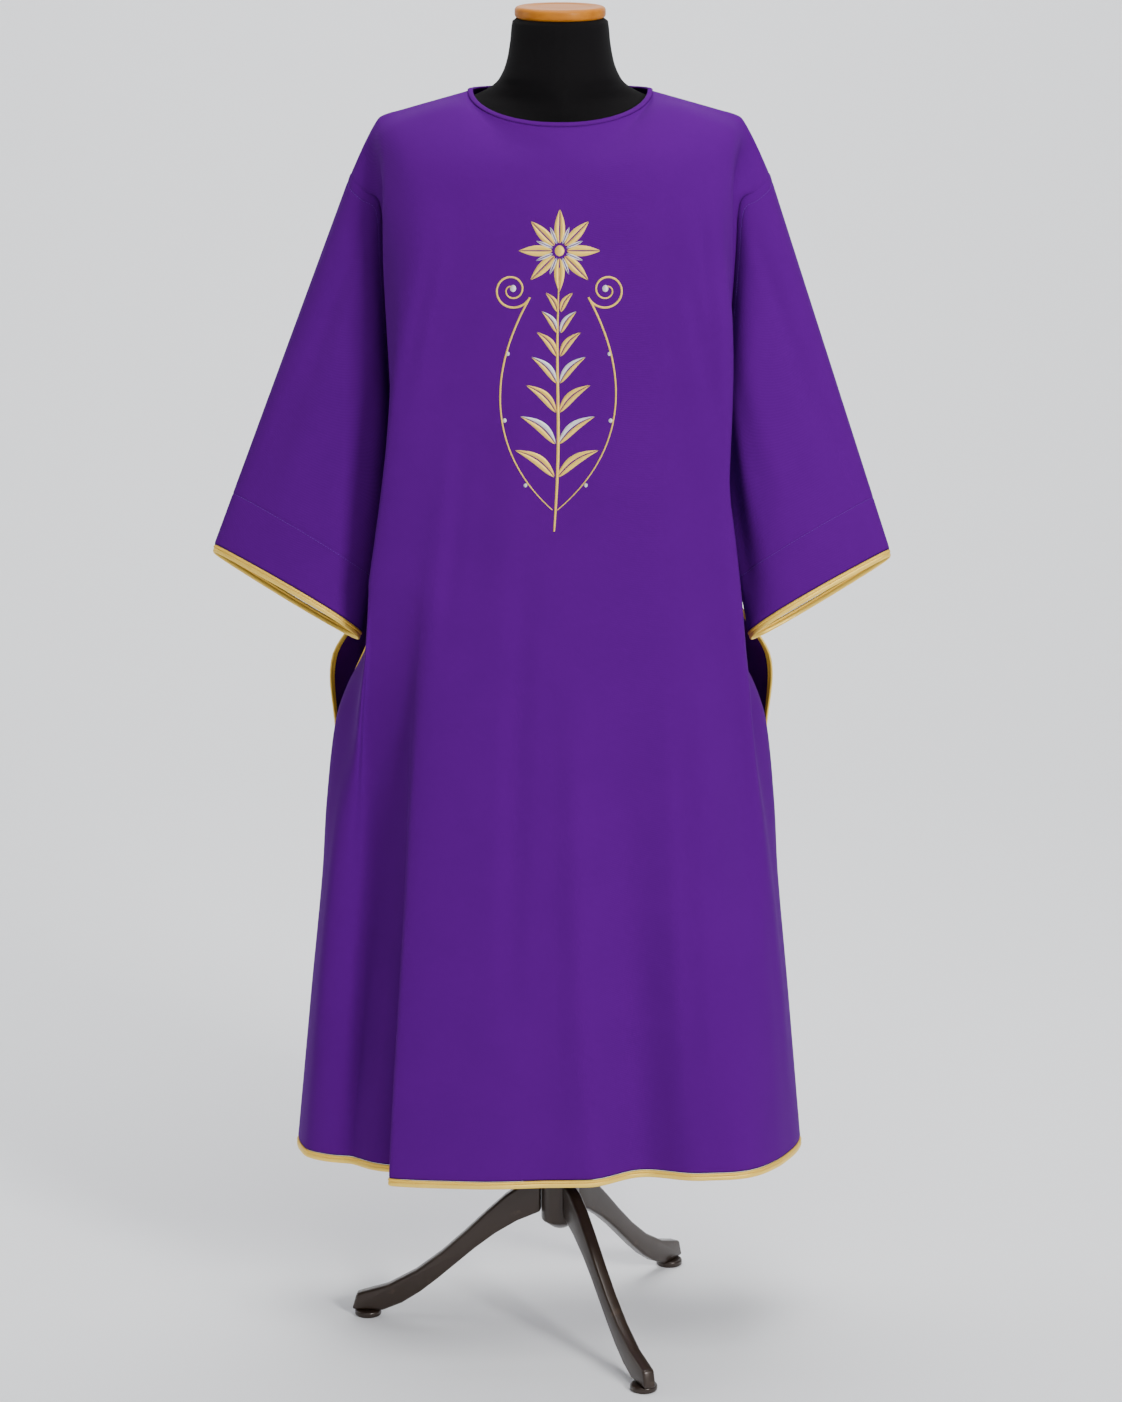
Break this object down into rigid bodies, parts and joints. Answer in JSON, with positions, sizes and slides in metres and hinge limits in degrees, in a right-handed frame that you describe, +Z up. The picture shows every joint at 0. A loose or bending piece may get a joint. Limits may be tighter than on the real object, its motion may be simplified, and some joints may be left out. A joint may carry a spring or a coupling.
{
  "type": "dalmatic on a limbless dress form",
  "caption": "Wide-sleeved purple liturgical tunic with gold piping and open sides, standing on a limbless dress form with a tripod.",
  "frame": {"origin": "on the floor, under the middle of the whole part", "axes": "+Z up, the garment's front faces -Y, the wearer's left is +X"},
  "size_m": [0.8336, 0.47, 1.6724],
  "materials": {
    "purple_cloth": "matt twill",
    "purple_binding": "matt twill, rolled",
    "gold_piping": "satin cord",
    "black_jersey": "matt jersey",
    "honey_wood": "glossy varnish",
    "dark_metal": "dark brown satin lacquer"
  },
  "bodies": {
    "root": {"front_panel": "purple_cloth", "back_panel": "purple_cloth", "sleeve_right": "purple_cloth", "sleeve_left": "purple_cloth", "neck_binding": "purple_binding", "front_piping": "gold_piping", "back_piping": "gold_piping", "cuff_piping_right": "gold_piping", "cuff_piping_left": "gold_piping", "form_torso": "black_jersey", "neck_cap": "honey_wood", "form_flange": "dark_metal", "pole": "dark_metal", "leg_hub": "dark_metal", "leg_1": "dark_metal", "leg_2": "dark_metal", "leg_3": "dark_metal", "foot_1": "dark_metal", "foot_2": "dark_metal", "foot_3": "dark_metal"}
  },
  "joints": []
}
